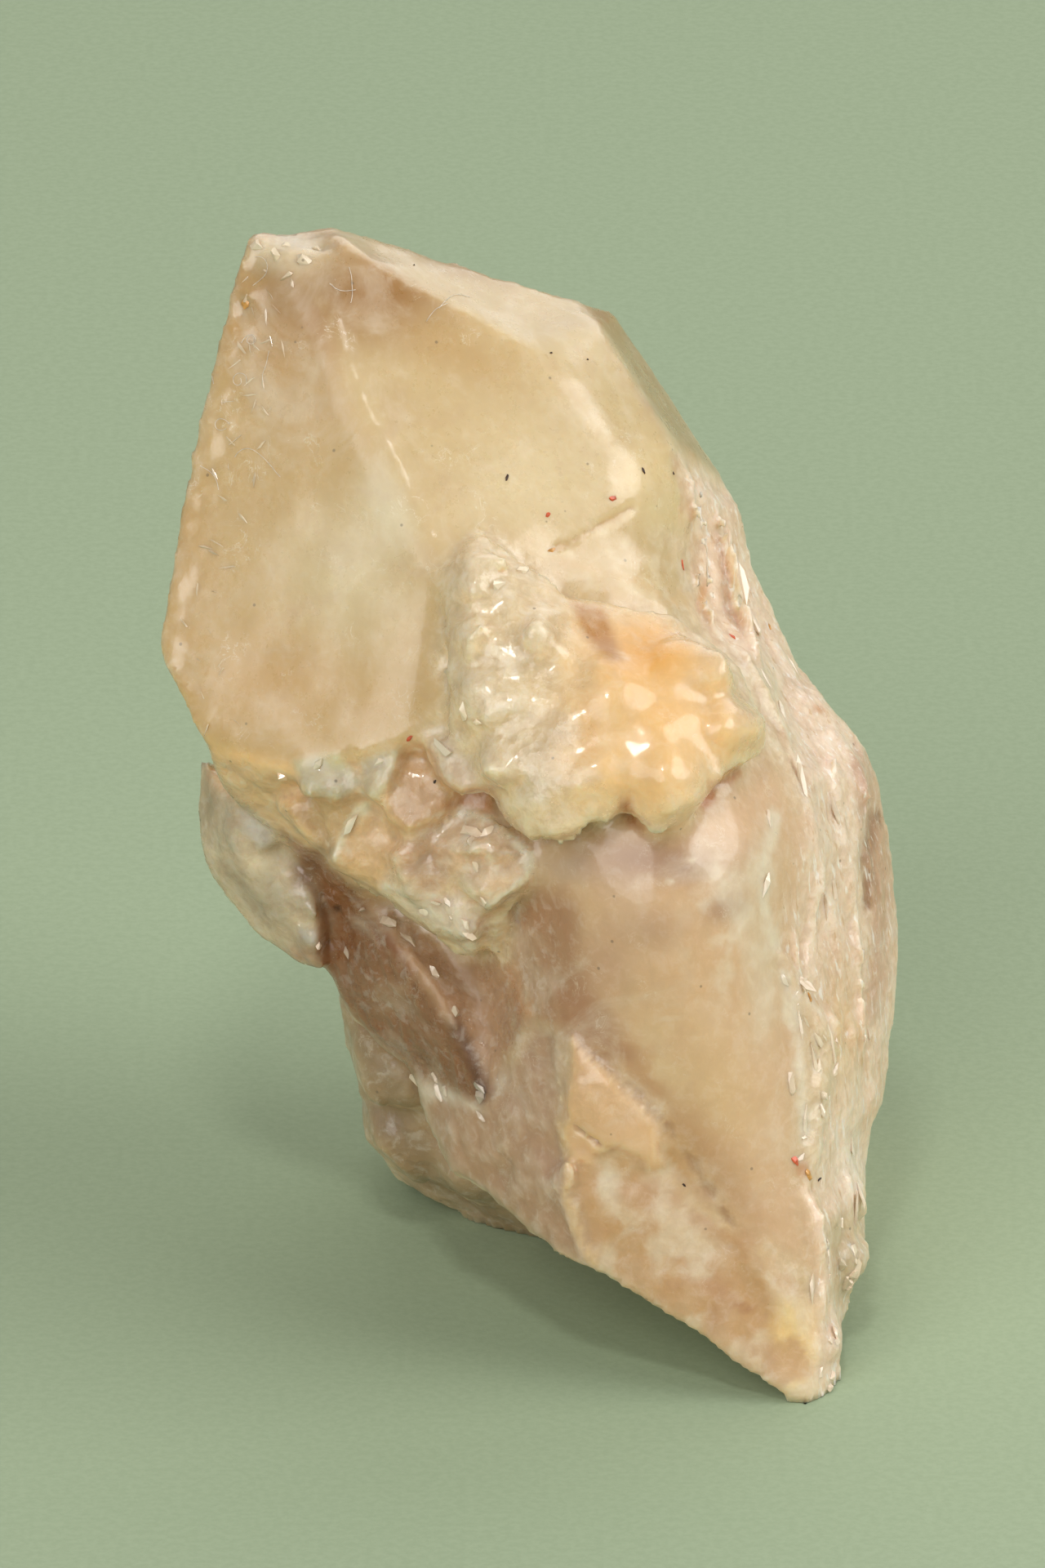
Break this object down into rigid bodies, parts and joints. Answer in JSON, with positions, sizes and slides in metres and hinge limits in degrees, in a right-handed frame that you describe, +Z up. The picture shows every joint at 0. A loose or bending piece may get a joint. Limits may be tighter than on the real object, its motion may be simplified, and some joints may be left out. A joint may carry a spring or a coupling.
{
  "type": "raw citrine crystal",
  "caption": "Raw citrine: a cloudy quartz point with a faceted tip, a druse crust across its middle, a splintered flank and a rough base.",
  "frame": {"origin": "middle of the bounding box, on the surface the stone stands on", "axes": "+Z up from the resting face towards the crystal's tip, -Y towards the druse and the smooth lower face, +X towards the splintered flank"},
  "size_m": [0.0456, 0.0488, 0.0648],
  "materials": {
    "citrine": "glossy broken crystal faces, cloudy inside"
  },
  "bodies": {
    "root": {"citrine": "citrine"}
  },
  "joints": []
}
